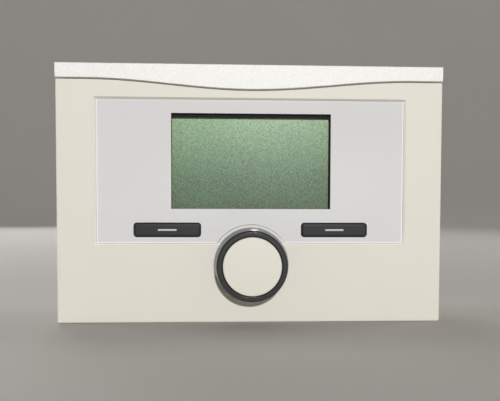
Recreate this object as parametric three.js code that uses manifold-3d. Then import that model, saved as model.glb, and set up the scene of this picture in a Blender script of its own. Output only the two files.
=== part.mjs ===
// Wall-mounted programmable timer: a room controller with a display, two keys and a rotary knob,
// clipped onto a wall base that holds its bus terminals.
// Millimetres. +X is right, +Z is up, and the face looks along -Y. The wall plane is y = 0.
// Every depth below is a distance out from the wall, so a depth d lies at y = -d.
import * as THREE from 'three';
import { mergeVertices } from 'three/addons/utils/BufferGeometryUtils.js';
import Module from 'manifold-3d';

const wasm = await Module();
wasm.setup();

// ---- Driving dimensions -------------------------------------------------------------------------
const FACE_WIDTH = 147;
const FACE_HEIGHT = 97.8;
const FACE_DEPTH = 40;            // wall to the front cover's face
const GAP = 0.3;                  // clearance between pieces that rest on each other
const OVERSHOOT = 1;              // how far a cutting tool runs past the face it leaves
const ROUND_SIDES = 24;           // flats that stand for a small round piece or hole
const THIN_SIDES = 16;            // and for the thinnest ones
const BUSH_SIDES = 32;
const KNOB_SIDES = 64;
const ARC_STEPS = 5;              // flats in a quarter or half turn of an outline
const EDGE_STEPS = 3;             // flats in a rounded edge

// Front cover
const COVER_WIDTH = FACE_WIDTH - 0.4;
const COVER_BACK = 11;            // back edge of the cover's side walls
const COVER_WALL = 2;
const COVER_TOP_WALL = 3.3;       // thicker, because the trim's lip is let into it
const CORNER_RADIUS = 0.6;
const COVER_EDGE = 0.5;           // radius of its outer edges

// Trim strip along the top, whose lower edge dips in the middle
const TRIM_DROP = 5.45;           // strip height at the ends
const TRIM_DIP = 3.75;            // extra height at the middle
const TRIM_DIP_HALF_WIDTH = 62;
const TRIM_DIP_STEPS = 24;
const TRIM_THICKNESS = 2;
const TRIM_PROUD = 0.2;           // stands this far in front of the cover's face
const TRIM_SEAM = 0.65;           // open line between the strip and the cover
const TRIM_EDGE = 0.3;
const TRIM_LIP_THICKNESS = 1.2;
const TRIM_LIP_BACK = 24;

// Fascia panel, let into the cover's face
const FASCIA_WIDTH = 117;
const FASCIA_TOP = 35.8;
const FASCIA_BOTTOM = -18.6;
const FASCIA_SINK = 0.7;
const FASCIA_THICKNESS = 1.2;
const FASCIA_GAP = 0.1;           // open line round the fascia
const FASCIA_SLOPE = 0.6;         // how far the recess round it widens towards the face
const RECESS_CORNER = 0.2;
const FASCIA_LEDGE = 1.8;         // how far the cover's ledge reaches behind the fascia
const FASCIA_LEDGE_DEPTH = 1.8;

// Display
const WINDOW_WIDTH = 60.8;
const WINDOW_TOP = 30.7;
const WINDOW_BOTTOM = -5.5;
const GASKET_BORDER = 2.8;
const GASKET_THICKNESS = 1.6;
const GASKET_SHOWS = { left: 0.1, right: 0.3, top: 1.25, bottom: 0 };   // how far it reaches into the window
const GLASS_WIDTH = 68;
const GLASS_HEIGHT = 41;
const GLASS_THICKNESS = 2.4;
const LIGHT_GUIDE = { width: 62, height: 35, lift: 1, footWidth: 8, footHeight: 6, footInset: 8 };
const DISPLAY_FRAME_WALL = 1.8;
const CONTACT_STRIP_WIDTH = 60;
const CONTACT_STRIP_HEIGHT = 1.8;

// Keys
const KEY_WIDTH = 25;
const KEY_HEIGHT = 5;
const KEY_CORNER = 1;
const KEY_X = 31.9;
const KEY_Z = -13.5;
const KEY_FRONT = 40.2;
const KEY_FLANGE = 1.2;           // how far the flange that retains it reaches past each end
const KEY_FLANGE_BACK = 36.3;
const KEY_STEM_WIDTH = 6;
const KEY_STEM_HEIGHT = 3;
const SWITCH_SIZE = 6.2;
const SWITCH_FRONT = 31.5;
const SWITCH_WELL_DEPTH = 29.2;
const PLUNGER_RADIUS = 1.8;
const PLUNGER_BACK = 30.1;
const PLUNGER_FRONT = 32.6;

// Knob and its encoder
const KNOB_Z = -26.8;
const KNOB_BASE_RADIUS = 14.3;
const KNOB_TOP_RADIUS = 13.1;
const KNOB_BACK = 40.5;
const KNOB_TOP = 48.9;
const KNOB_RIM = 1.9;             // width of the dark ring's top
const KNOB_SKIRT = 1.8;
const KNOB_WEB_BACK = 45.9;
const KNOB_SEAT = 47.3;           // floor that the cap lies on
const KNOB_HUB_RADIUS = 4.6;
const KNOB_EDGE = 0.4;            // size of the ring's small chamfers
const CAP_CROWN = 50;             // front of the cap's crown
const CAP_EDGE = 49.2;            // front of the cap at its edge
const CAP_CROWN_STEPS = 4;
const LAND_RADIUS = 15.3;         // round land of the cover that the knob turns over
const LAND_GAP = 0.15;            // open line between the land and the fascia
const LAND_HOLE_RADIUS = 5;
const ENCODER_WIDTH = 12.6;
const ENCODER_HEIGHT = 13.2;
const ENCODER_FRONT = 33.2;
const BUSH_RADIUS = 4.4;
const BUSH_FRONT = 38.5;
const SHAFT_RADIUS = 2.5;
const SHAFT_BACK = 29.8;
const SHAFT_FRONT = 46.1;
const SHAFT_FLAT = 1.7;           // distance from the axis to the flat of the D

// Circuit board
const BOARD_WIDTH = 136;
const BOARD_HEIGHT = 86.6;
const BOARD_BACK = 26.3;
const BOARD_THICKNESS = 1.6;
const BOARD_HOLE_RADIUS = 2;

// Rear housing and the screws that hold it to the cover
const HOUSING_BACK = 12.6;
const HOUSING_FLOOR = 1.8;
const HOUSING_RIM = 1.6;
const HOUSING_GAP = 0.4;
const HOUSING_CORNER = 1.2;
const HOUSING_EDGE = 0.5;
const SCREW_X = 64.5;
const SCREW_Z = 38;
const SCREW_HEAD_RADIUS = 2.7;
const SCREW_HEAD_HEIGHT = 2.1;
const SCREW_SHANK_RADIUS = 1.35;
const SCREW_HEAD_SEAT = 22;
const SCREW_TIP = 35.6;
const SCREW_CROSS = { length: 3.6, width: 0.8, depth: 1 };
const POST_RADIUS = 3.6;
const BOSS_RADIUS = 4.4;
const BOSS_WELL_RADIUS = 3.1;

// Air slots in the top and bottom of the cover
const AIR_SLOT_WIDTH = 2;
const AIR_SLOT_PITCH = 5.5;
const AIR_SLOT_COUNT = 6;         // in each group
const AIR_SLOT_GROUP_X = 38;
const AIR_SLOT_BOTTOM = { back: 15, front: 27 };
const AIR_SLOT_TOP = { back: 13.5, front: 21.5 };

// Wall base
const BASE_WIDTH = 138;
const BASE_HEIGHT = 88;
const BASE_CORNER = 3;
const BASE_EDGE = 0.5;
const BASE_FLOOR = 2.2;
const BASE_RIM = 1.8;
const BASE_FRONT = 12;
const WALL_SCREW_SPACING = 60;
const WALL_SLOT_WIDTH = 4.6;
const WALL_SLOT_LENGTH = 10;
const WALL_PAD_HEIGHT = 1.4;
const ROOT = 1;                   // depth at which a pad or rib starts, inside the floor
const WALL_PAD_BORDER = 2.6;
const SPARE_SLOT_Z = 34;          // level slots above and below, for other wall boxes
const BACK_FIELD = { x: 50, width: 28, height: 72, corner: 3, depth: 0.8 };   // shallow fields in the back
const CABLE_CHANNEL = { width: 12, depth: 1.2 };   // in the back, from the cable entry to the lower edge
const CABLE_ENTRY = { width: 34, height: 16, z: -20, collar: 1.5 };
const TONGUE = { x: 50, width: 3, height: 16, front: 17, ribWidth: 9, ribHeight: 1.6, ribFront: 10 };
const TONGUE_CLEARANCE = 0.5;     // round each tongue in the housing's floor
const RELEASE_NOTCH = { width: 11, inCover: 2, inBase: 4 };

// Bus terminals and contacts
const TERMINAL = { width: 14, height: 10, z: 6.5, front: 11, pitch: 6 };
const TERMINAL_WELL = { radius: 2.3, back: 6, z: TERMINAL.z + 1.5 };
const TERMINAL_SCREW = { radius: 1.9, front: 9.5, slotWidth: 0.7, slotDepth: 0.9 };
const WIRE_HOLE = { width: 3.2, length: 6, back: 3.6, front: 6.8 };
const SOCKET = { width: 16, height: 8, z: 22, front: 11, wellWidth: 3, wellHeight: 5, wellBack: 4 };
const SOCKET_CLEARANCE = { x: 1.5, z: 1 };   // round the socket in the housing's floor
const SPRING = { width: 2.2, thickness: 0.4, bow: 0.8, foot: -2.1, front: 10, steps: 8 };
const PIN_PITCH = 7;
const PIN_SIZE = 1;
const PIN_BACK = 5.5;
const HEADER = { width: 14, height: 5, back: 20 };

// Parts soldered to the back of the board; x and z are their middles
const CONTROLLER = { x: -30, z: -6, side: 10, height: 1.6 };
const CONTROLLER_LEGS = { onSide: 8, pitch: 1.1, width: 0.5, span: 12.4, back: 0.9, front: 0.5 };
const CRYSTAL = { x: -30, z: -18, width: 11, height: 4.6, depth: 3.6 };
const SMOOTHING_CAN = { x: 44, z: 12, radius: 4, height: 9.5 };
const BACKUP_CAN = { x: 36, z: -20, radius: 6.7, height: 7.5 };
const CAN_GROOVE = 0.5;
const RECTIFIER = { x: 24, z: 28, width: 8.4, height: 6.4, depth: 3.6, lift: 0.4 };
const RECTIFIER_LEG = { x: 2.54, z: 3.4, size: 1 };
const SENSOR = { x: -50, z: -34, beadRadius: 1.6, legLength: 4, legPitch: 1.6, legWidth: 0.5 };

// ---- Depths that follow from the dimensions above ------------------------------------------------
const TOP = FACE_HEIGHT / 2;
const BOTTOM = -FACE_HEIGHT / 2;
const PLATE_BACK = FACE_DEPTH - COVER_WALL;
const CAVITY_TOP = TOP - COVER_TOP_WALL;
const CAVITY_BOTTOM = BOTTOM + COVER_WALL;
const CAVITY_WIDTH = COVER_WIDTH - 2 * COVER_WALL;
const TRIM_FRONT = FACE_DEPTH + TRIM_PROUD;
const TRIM_BACK = TRIM_FRONT - TRIM_THICKNESS;
const FASCIA_FRONT = FACE_DEPTH - FASCIA_SINK;
const FASCIA_BACK = FASCIA_FRONT - FASCIA_THICKNESS;
const FASCIA_HEIGHT = FASCIA_TOP - FASCIA_BOTTOM;
const FASCIA_Z = (FASCIA_TOP + FASCIA_BOTTOM) / 2;
const WINDOW_HEIGHT = WINDOW_TOP - WINDOW_BOTTOM;
const WINDOW_Z = (WINDOW_TOP + WINDOW_BOTTOM) / 2;
const GASKET_FRONT = FASCIA_BACK - GAP;
const GASKET_BACK = GASKET_FRONT - GASKET_THICKNESS;
const GLASS_FRONT = GASKET_BACK - GAP;
const GLASS_BACK = GLASS_FRONT - GLASS_THICKNESS;
const BOARD_FRONT = BOARD_BACK + BOARD_THICKNESS;
const ON_BOARD = BOARD_FRONT + GAP;      // back of what stands on the board's front
const UNDER_BOARD = BOARD_BACK - GAP;    // front of what stands on the board's back
const ON_BASE = BASE_FLOOR + GAP;        // back of what stands on the wall base's floor

// ---- Solids ---------------------------------------------------------------------------------------
function solidOf(geometry) {
  const bare = geometry.clone();
  bare.deleteAttribute('normal');
  bare.deleteAttribute('uv');
  const merged = mergeVertices(bare, 1e-4);
  const vertProperties = merged.attributes.position.array;
  const triVerts = new Uint32Array(merged.index.array);
  return new wasm.Manifold(new wasm.Mesh({ numProp: 3, vertProperties, triVerts }));
}

function geometryOf(solid) {
  const mesh = solid.getMesh();
  const geometry = new THREE.BufferGeometry();
  geometry.setAttribute('position', new THREE.BufferAttribute(mesh.vertProperties, 3));
  geometry.setIndex(new THREE.BufferAttribute(mesh.triVerts, 1));
  geometry.computeVertexNormals();
  return geometry;
}

function join(first, ...others) {
  return geometryOf(others.reduce((body, other) => body.add(solidOf(other)), solidOf(first)));
}

function carve(body, ...tools) {
  return geometryOf(tools.reduce((rest, tool) => rest.subtract(solidOf(tool)), solidOf(body)));
}

// An outline drawn as (x, z), carried from one depth to another.
function slab(outline, back, front) {
  const options = { depth: front - back, bevelEnabled: false, curveSegments: ARC_STEPS };
  const geometry = new THREE.ExtrudeGeometry(outline, options);
  geometry.rotateX(Math.PI / 2);
  geometry.translate(0, -back, 0);
  return geometry;
}

// The same with its front and back edges rounded off.
function softSlab(outline, back, front, edge) {
  const geometry = new THREE.ExtrudeGeometry(outline, {
    depth: front - back - 2 * edge,
    bevelThickness: edge,
    bevelSize: edge,
    bevelOffset: -edge,
    bevelSegments: EDGE_STEPS,
    curveSegments: ARC_STEPS,
  });
  geometry.rotateX(Math.PI / 2);
  geometry.translate(0, -back - edge, 0);
  return geometry;
}

function rounded(width, height, radius, x = 0, z = 0) {
  const shape = new THREE.Shape();
  const right = x + width / 2 - radius;
  const left = x - width / 2 + radius;
  const top = z + height / 2 - radius;
  const bottom = z - height / 2 + radius;
  shape.absarc(right, bottom, radius, -Math.PI / 2, 0);
  shape.absarc(right, top, radius, 0, Math.PI / 2);
  shape.absarc(left, top, radius, Math.PI / 2, Math.PI);
  shape.absarc(left, bottom, radius, Math.PI, 1.5 * Math.PI);
  shape.closePath();
  return shape;
}

function block(width, height, back, front, x = 0, z = 0) {
  const geometry = new THREE.BoxGeometry(width, front - back, height);
  geometry.translate(x, -(back + front) / 2, z);
  return geometry;
}

function disc(radius, back, front, x = 0, z = 0, sides = ROUND_SIDES) {
  const geometry = new THREE.CylinderGeometry(radius, radius, front - back, sides);
  geometry.translate(x, -(back + front) / 2, z);
  return geometry;
}

// A profile of [radius, depth] points, listed from the wall side outwards, turned about a line along Y.
function turned(profile, x, z, sides) {
  const points = profile.map(([radius, depth]) => new THREE.Vector2(radius, -depth)).reverse();
  const geometry = new THREE.LatheGeometry(points, sides);
  geometry.translate(x, 0, z);
  return geometry;
}

const corners = [[-1, 1], [1, 1], [-1, -1], [1, -1]];
const screwPlaces = corners.map(([sideX, sideZ]) => [sideX * SCREW_X, sideZ * SCREW_Z]);

// ---- Front cover ----------------------------------------------------------------------------------
// Height of the trim's lower edge at x: level at the ends, with a smooth dip in the middle.
function trimEdge(x) {
  const reach = Math.min(Math.abs(x) / TRIM_DIP_HALF_WIDTH, 1);
  return TOP - TRIM_DROP - (TRIM_DIP * (1 + Math.cos(Math.PI * reach))) / 2;
}

// The area between the trim's lower edge, moved down by seam, and a level line at height top.
function trimOutline(width, seam, top) {
  const shape = new THREE.Shape();
  shape.moveTo(width / 2, top);
  shape.lineTo(-width / 2, top);
  shape.lineTo(-width / 2, trimEdge(width) - seam);
  for (let step = 0; step <= TRIM_DIP_STEPS; step += 1) {
    const x = TRIM_DIP_HALF_WIDTH * ((2 * step) / TRIM_DIP_STEPS - 1);
    shape.lineTo(x, trimEdge(x) - seam);
  }
  shape.lineTo(width / 2, trimEdge(width) - seam);
  shape.closePath();
  return shape;
}

function airSlots(slot, bottom, top) {
  const slots = [];
  for (const side of [-1, 1]) {
    for (let index = 0; index < AIR_SLOT_COUNT; index += 1) {
      const x = side * AIR_SLOT_GROUP_X + (index - (AIR_SLOT_COUNT - 1) / 2) * AIR_SLOT_PITCH;
      slots.push(block(AIR_SLOT_WIDTH, top - bottom, slot.back, slot.front, x, (top + bottom) / 2));
    }
  }
  return slots;
}

// The tool for the recess in front of the fascia, whose walls slope out to the face.
function slopedRecess(width, height) {
  const outline = rounded(width, height, RECESS_CORNER, 0, FASCIA_Z);
  const geometry = new THREE.ExtrudeGeometry(outline, {
    depth: OVERSHOOT,
    bevelThickness: FASCIA_SINK,
    bevelSize: FASCIA_SLOPE,
    bevelSegments: 1,
    curveSegments: 2,             // its corners are too small to need more
  });
  geometry.rotateX(Math.PI / 2);
  geometry.translate(0, -FACE_DEPTH, 0);
  return geometry;
}

function frontCover() {
  const cavityHeight = CAVITY_TOP - CAVITY_BOTTOM;
  const cavityZ = (CAVITY_TOP + CAVITY_BOTTOM) / 2;
  const openWidth = FASCIA_WIDTH + 2 * FASCIA_GAP;
  const openHeight = FASCIA_HEIGHT + 2 * FASCIA_GAP;
  const ledgeFront = FASCIA_BACK - GAP;
  const ledgeBack = ledgeFront - FASCIA_LEDGE_DEPTH;
  const seamLedgeBottom = trimEdge(0) - TRIM_SEAM - COVER_WALL;
  const seamLedgeFront = TRIM_BACK - GAP;

  const shell = carve(
    softSlab(rounded(COVER_WIDTH, FACE_HEIGHT, CORNER_RADIUS), COVER_BACK, FACE_DEPTH, COVER_EDGE),
    block(CAVITY_WIDTH, cavityHeight, COVER_BACK - OVERSHOOT, PLATE_BACK, 0, cavityZ),
    block(openWidth, openHeight, ledgeFront, FACE_DEPTH + OVERSHOOT, 0, FASCIA_Z),
    slopedRecess(openWidth, openHeight),
  );
  const fasciaLedge = carve(
    block(openWidth + 2 * COVER_WALL, openHeight + 2 * COVER_WALL, ledgeBack, PLATE_BACK, 0, FASCIA_Z),
    block(openWidth, openHeight, ledgeFront, FACE_DEPTH, 0, FASCIA_Z),
    block(openWidth - 2 * FASCIA_LEDGE, openHeight - 2 * FASCIA_LEDGE, 0, FACE_DEPTH, 0, FASCIA_Z),
  );
  const trimLedge = block(
    CAVITY_WIDTH,
    CAVITY_TOP - seamLedgeBottom,
    seamLedgeFront - COVER_WALL,
    PLATE_BACK,
    0,
    (CAVITY_TOP + seamLedgeBottom) / 2,
  );
  const land = disc(LAND_RADIUS, ledgeBack, FACE_DEPTH, 0, KNOB_Z, KNOB_SIDES);
  const posts = screwPlaces.map(([x, z]) => disc(POST_RADIUS, ON_BOARD, PLATE_BACK, x, z));
  const body = join(shell, fasciaLedge, trimLedge, land, ...posts);

  const toolWidth = FACE_WIDTH + 2 * OVERSHOOT;
  const toolFront = FACE_DEPTH + OVERSHOOT;
  const lipToolHeight = TRIM_LIP_THICKNESS + GAP + OVERSHOOT;
  const notchHeight = 2 * COVER_WALL;
  const notchFront = COVER_BACK + RELEASE_NOTCH.inCover;
  const pilotHoles = screwPlaces.map(([x, z]) => (
    disc(SCREW_SHANK_RADIUS + GAP, ON_BOARD - OVERSHOOT, SCREW_TIP + GAP, x, z, THIN_SIDES)
  ));
  return carve(
    body,
    slab(trimOutline(toolWidth, TRIM_SEAM, TOP + OVERSHOOT), seamLedgeFront, toolFront),
    block(toolWidth, lipToolHeight, TRIM_LIP_BACK - GAP, toolFront, 0, TOP + OVERSHOOT - lipToolHeight / 2),
    disc(LAND_HOLE_RADIUS, ledgeBack - OVERSHOOT, toolFront, 0, KNOB_Z, BUSH_SIDES),
    block(RELEASE_NOTCH.width, notchHeight, COVER_BACK - OVERSHOOT, notchFront, 0, BOTTOM),
    ...pilotHoles,
    ...airSlots(AIR_SLOT_BOTTOM, BOTTOM - OVERSHOOT, CAVITY_BOTTOM + OVERSHOOT),
    ...airSlots(AIR_SLOT_TOP, CAVITY_TOP - OVERSHOOT, TOP + OVERSHOOT),
  );
}

function topTrim() {
  const lipZ = TOP - TRIM_LIP_THICKNESS / 2;
  return join(
    softSlab(trimOutline(FACE_WIDTH, 0, TOP), TRIM_BACK, TRIM_FRONT, TRIM_EDGE),
    block(FACE_WIDTH, TRIM_LIP_THICKNESS, TRIM_LIP_BACK, (TRIM_BACK + TRIM_FRONT) / 2, 0, lipZ),
  );
}

function displayFascia() {
  const slotWidth = KEY_WIDTH + 2 * GAP;
  const slotHeight = KEY_HEIGHT + 2 * GAP;
  const keySlots = [-KEY_X, KEY_X].map((x) => (
    slab(rounded(slotWidth, slotHeight, KEY_CORNER + GAP, x, KEY_Z), FASCIA_BACK - OVERSHOOT, FACE_DEPTH)
  ));
  return carve(
    block(FASCIA_WIDTH, FASCIA_HEIGHT, FASCIA_BACK, FASCIA_FRONT, 0, FASCIA_Z),
    block(WINDOW_WIDTH, WINDOW_HEIGHT, FASCIA_BACK - OVERSHOOT, FACE_DEPTH, 0, WINDOW_Z),
    disc(LAND_RADIUS + LAND_GAP, FASCIA_BACK - OVERSHOOT, FACE_DEPTH, 0, KNOB_Z, KNOB_SIDES),
    ...keySlots,
  );
}

// ---- Display --------------------------------------------------------------------------------------
function displayGasket() {
  const left = -WINDOW_WIDTH / 2 + GASKET_SHOWS.left;
  const right = WINDOW_WIDTH / 2 - GASKET_SHOWS.right;
  const bottom = WINDOW_BOTTOM + GASKET_SHOWS.bottom;
  const top = WINDOW_TOP - GASKET_SHOWS.top;
  const outerWidth = WINDOW_WIDTH + 2 * GASKET_BORDER;
  const outerHeight = WINDOW_HEIGHT + 2 * GASKET_BORDER;
  const toolBack = GASKET_BACK - OVERSHOOT;
  const toolFront = GASKET_FRONT + OVERSHOOT;
  return carve(
    block(outerWidth, outerHeight, GASKET_BACK, GASKET_FRONT, 0, WINDOW_Z),
    block(right - left, top - bottom, toolBack, toolFront, (left + right) / 2, (bottom + top) / 2),
  );
}

function displayGlass() {
  return block(GLASS_WIDTH, GLASS_HEIGHT, GLASS_BACK, GLASS_FRONT, 0, WINDOW_Z);
}

function lightGuide() {
  const { width, height, lift, footWidth, footHeight, footInset } = LIGHT_GUIDE;
  const plate = block(width, height, ON_BOARD + lift, GLASS_BACK - GAP, 0, WINDOW_Z);
  const feet = [-1, 1].map((side) => (
    block(footWidth, footHeight, ON_BOARD, ON_BOARD + 1.5 * lift, side * (width / 2 - footInset), WINDOW_Z)
  ));
  return join(plate, ...feet);
}

function displayFrame() {
  const innerWidth = GLASS_WIDTH + 2 * GAP;
  const innerHeight = GLASS_HEIGHT + 2 * GAP;
  const outerWidth = innerWidth + 2 * DISPLAY_FRAME_WALL;
  const outerHeight = innerHeight + 2 * DISPLAY_FRAME_WALL;
  return carve(
    block(outerWidth, outerHeight, ON_BOARD, GLASS_FRONT, 0, WINDOW_Z),
    block(innerWidth, innerHeight, ON_BOARD - OVERSHOOT, GLASS_FRONT + OVERSHOOT, 0, WINDOW_Z),
  );
}

function contactStrip(side) {
  const z = WINDOW_Z + side * (GLASS_HEIGHT / 2 - CONTACT_STRIP_HEIGHT / 2);
  return block(CONTACT_STRIP_WIDTH, CONTACT_STRIP_HEIGHT, ON_BOARD, GLASS_BACK - GAP, 0, z);
}

// ---- Keys and switches ----------------------------------------------------------------------------
function key(x) {
  const flangeWidth = KEY_WIDTH + 2 * KEY_FLANGE;
  return join(
    slab(rounded(KEY_WIDTH, KEY_HEIGHT, KEY_CORNER, x, KEY_Z), KEY_FLANGE_BACK, KEY_FRONT),
    block(flangeWidth, KEY_HEIGHT, KEY_FLANGE_BACK, FASCIA_BACK - GAP, x, KEY_Z),
    block(KEY_STEM_WIDTH, KEY_STEM_HEIGHT, PLUNGER_FRONT + GAP, KEY_FLANGE_BACK + OVERSHOOT, x, KEY_Z),
  );
}

function switchBody(x) {
  return carve(
    block(SWITCH_SIZE, SWITCH_SIZE, ON_BOARD, SWITCH_FRONT, x, KEY_Z),
    disc(PLUNGER_RADIUS + GAP, SWITCH_WELL_DEPTH, SWITCH_FRONT + OVERSHOOT, x, KEY_Z),
  );
}

function switchPlunger(x) {
  return disc(PLUNGER_RADIUS, PLUNGER_BACK, PLUNGER_FRONT, x, KEY_Z);
}

// ---- Knob and encoder -----------------------------------------------------------------------------
// The tool or solid for a D-shaped shaft: a round bar with one flat.
function flattedBar(radius, flat, back, front) {
  const toolZ = KNOB_Z + flat + radius;
  const flatTool = block(4 * radius, 2 * radius, back - OVERSHOOT, front + OVERSHOOT, 0, toolZ);
  return carve(disc(radius, back, front, 0, KNOB_Z), flatTool);
}

function knobRing() {
  const seatRadius = KNOB_TOP_RADIUS - KNOB_RIM;
  const edge = KNOB_EDGE;
  const profile = [
    [0, KNOB_BACK + edge],
    [KNOB_HUB_RADIUS, KNOB_BACK + edge],
    [KNOB_HUB_RADIUS, KNOB_WEB_BACK],
    [KNOB_TOP_RADIUS - KNOB_SKIRT, KNOB_WEB_BACK],
    [KNOB_BASE_RADIUS - KNOB_SKIRT, KNOB_BACK],
    [KNOB_BASE_RADIUS, KNOB_BACK],
    [KNOB_BASE_RADIUS, KNOB_BACK + 2 * edge],
    [KNOB_TOP_RADIUS + edge, KNOB_TOP - 2 * edge],
    [KNOB_TOP_RADIUS, KNOB_TOP],
    [seatRadius + edge, KNOB_TOP],
    [seatRadius, KNOB_TOP - edge],
    [seatRadius, KNOB_SEAT],
    [0, KNOB_SEAT],
  ];
  const bore = flattedBar(SHAFT_RADIUS + GAP, SHAFT_FLAT + GAP, KNOB_BACK - OVERSHOOT, SHAFT_FRONT + GAP);
  return carve(turned(profile, 0, KNOB_Z, KNOB_SIDES), bore);
}

function knobCap() {
  const radius = KNOB_TOP_RADIUS - KNOB_RIM - GAP;
  const back = KNOB_SEAT + GAP;
  const profile = [[0, back], [radius, back]];
  for (let step = 0; step < CAP_CROWN_STEPS; step += 1) {
    const share = step / CAP_CROWN_STEPS;
    profile.push([radius * (1 - share), CAP_EDGE + (CAP_CROWN - CAP_EDGE) * (1 - (1 - share) ** 2)]);
  }
  profile.push([0, CAP_CROWN]);
  return turned(profile, 0, KNOB_Z, KNOB_SIDES);
}

function encoderShaft() {
  const bar = disc(SHAFT_RADIUS, SHAFT_BACK, KNOB_BACK, 0, KNOB_Z);
  return join(bar, flattedBar(SHAFT_RADIUS, SHAFT_FLAT, KNOB_BACK - OVERSHOOT, SHAFT_FRONT));
}

function encoderBody() {
  return carve(
    block(ENCODER_WIDTH, ENCODER_HEIGHT, ON_BOARD, ENCODER_FRONT, 0, KNOB_Z),
    disc(SHAFT_RADIUS + GAP, SHAFT_BACK - GAP, ENCODER_FRONT + OVERSHOOT, 0, KNOB_Z),
  );
}

function encoderBush() {
  const bushBack = ENCODER_FRONT + GAP;
  return carve(
    disc(BUSH_RADIUS, bushBack, BUSH_FRONT, 0, KNOB_Z, BUSH_SIDES),
    disc(SHAFT_RADIUS + GAP, bushBack - OVERSHOOT, BUSH_FRONT + OVERSHOOT, 0, KNOB_Z),
  );
}

// ---- Electronics ----------------------------------------------------------------------------------
function mainBoard() {
  const plate = block(BOARD_WIDTH, BOARD_HEIGHT, BOARD_BACK, BOARD_FRONT);
  const holes = screwPlaces.map(([x, z]) => (
    disc(BOARD_HOLE_RADIUS, BOARD_BACK - OVERSHOOT, BOARD_FRONT + OVERSHOOT, x, z, THIN_SIDES)
  ));
  return carve(plate, ...holes);
}

function microcontroller() {
  const { x, z, side, height } = CONTROLLER;
  const { onSide, pitch, width, span } = CONTROLLER_LEGS;
  const back = UNDER_BOARD - CONTROLLER_LEGS.back;
  const front = UNDER_BOARD - CONTROLLER_LEGS.front;
  const strips = [];
  for (let index = 0; index < onSide; index += 1) {
    const offset = (index - (onSide - 1) / 2) * pitch;
    strips.push(block(width, span, back, front, x + offset, z));
    strips.push(block(span, width, back, front, x, z + offset));
  }
  return join(block(side, side, UNDER_BOARD - height, UNDER_BOARD, x, z), ...strips);
}

function crystal() {
  const { x, z, width, height, depth } = CRYSTAL;
  return slab(rounded(width, height, height / 2 - 0.1, x, z), UNDER_BOARD - depth, UNDER_BOARD);
}

// An upright can: a plain cylinder with a rolled groove near the board.
function capacitorCan({ x, z, radius, height }) {
  const back = UNDER_BOARD - height;
  const profile = [
    [0, back],
    [radius - CAN_GROOVE, back],
    [radius, back + CAN_GROOVE],
    [radius, UNDER_BOARD - 3 * CAN_GROOVE],
    [radius - CAN_GROOVE, UNDER_BOARD - 2 * CAN_GROOVE],
    [radius, UNDER_BOARD - CAN_GROOVE],
    [radius, UNDER_BOARD],
    [0, UNDER_BOARD],
  ];
  return turned(profile, x, z, ROUND_SIDES);
}

function roomSensor() {
  const { x, z, beadRadius, legLength, legPitch, legWidth } = SENSOR;
  const beadDepth = UNDER_BOARD - legLength - beadRadius / 2;
  const bead = new THREE.SphereGeometry(beadRadius, 16, 10);
  bead.translate(x, -beadDepth, z);
  const legs = [-1, 1].map((side) => (
    block(legWidth, legWidth, beadDepth, UNDER_BOARD, x + (side * legPitch) / 2, z)
  ));
  return join(bead, ...legs);
}

function busRectifier() {
  const { x, z, width, height, depth, lift } = RECTIFIER;
  const leg = RECTIFIER_LEG;
  const body = block(width, height, UNDER_BOARD - depth, UNDER_BOARD - lift, x, z);
  const legs = corners.map(([sideX, sideZ]) => (
    block(leg.size, leg.size, UNDER_BOARD - 2 * leg.size, UNDER_BOARD, x + sideX * leg.x, z + sideZ * leg.z)
  ));
  return join(body, ...legs);
}

function pinHeader() {
  const holes = [-1, 1].map((side) => (
    block(PIN_SIZE + 2 * GAP, PIN_SIZE + 2 * GAP, 0, FACE_DEPTH, (side * PIN_PITCH) / 2, SOCKET.z)
  ));
  return carve(block(HEADER.width, HEADER.height, HEADER.back, UNDER_BOARD, 0, SOCKET.z), ...holes);
}

function busPin(side) {
  return block(PIN_SIZE, PIN_SIZE, PIN_BACK, UNDER_BOARD, (side * PIN_PITCH) / 2, SOCKET.z);
}

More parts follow.
